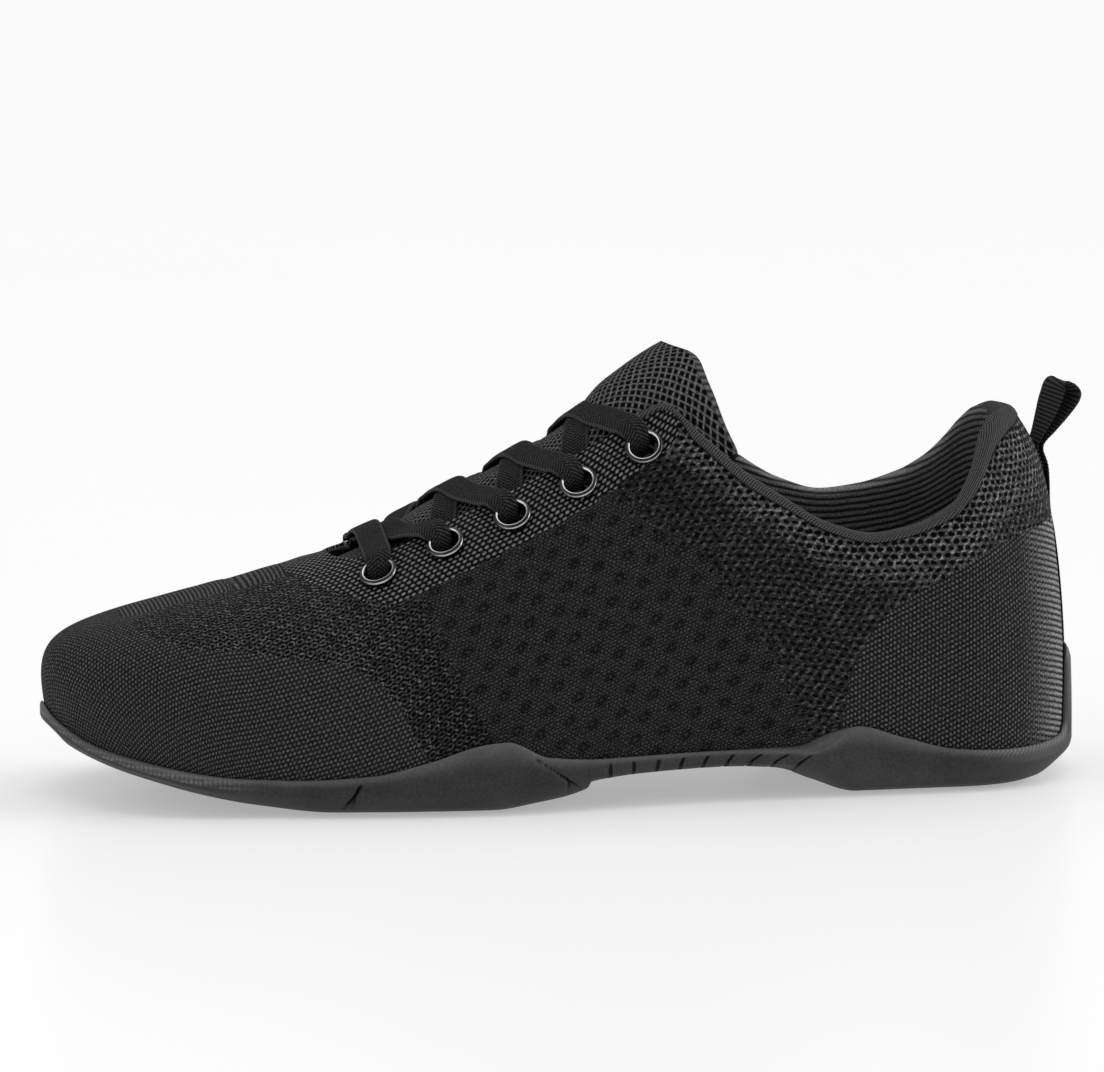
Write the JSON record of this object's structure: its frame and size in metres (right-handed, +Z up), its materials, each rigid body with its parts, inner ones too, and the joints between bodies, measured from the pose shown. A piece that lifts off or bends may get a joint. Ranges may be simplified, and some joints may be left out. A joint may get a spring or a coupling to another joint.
{
  "type": "cheerleading shoe",
  "caption": "Low-cut knitted cheerleading shoe with laced throat, padded tongue and collar, heel pull loop and a split rubber sole with a ribbed arch",
  "frame": {"origin": "on the floor, under the middle of the shoe's box", "axes": "X from the toe (-) to the heel (+), Y from the outer side (-) to the inner side (+), Z up"},
  "size_m": [0.2555, 0.0923, 0.1077],
  "materials": {
    "rubber": "matte moulded",
    "insole_cloth": "brushed",
    "knit": "knitted",
    "tongue_mesh": "open mesh",
    "eyelet_metal": "dark polished",
    "lace": "woven",
    "webbing": "ribbed weave"
  },
  "bodies": {
    "root": {"outsole": "rubber", "insole": "insole_cloth", "upper": "knit", "tongue": "tongue_mesh", "eyelet_outer_1": "eyelet_metal", "eyelet_outer_2": "eyelet_metal", "eyelet_outer_3": "eyelet_metal", "eyelet_outer_4": "eyelet_metal", "eyelet_outer_5": "eyelet_metal", "eyelet_inner_1": "eyelet_metal", "eyelet_inner_2": "eyelet_metal", "eyelet_inner_3": "eyelet_metal", "eyelet_inner_4": "eyelet_metal", "eyelet_inner_5": "eyelet_metal", "lace_bar": "lace", "lace_cross_1": "lace", "lace_cross_2": "lace", "lace_cross_3": "lace", "lace_cross_4": "lace", "pull_loop": "webbing"}
  },
  "joints": []
}
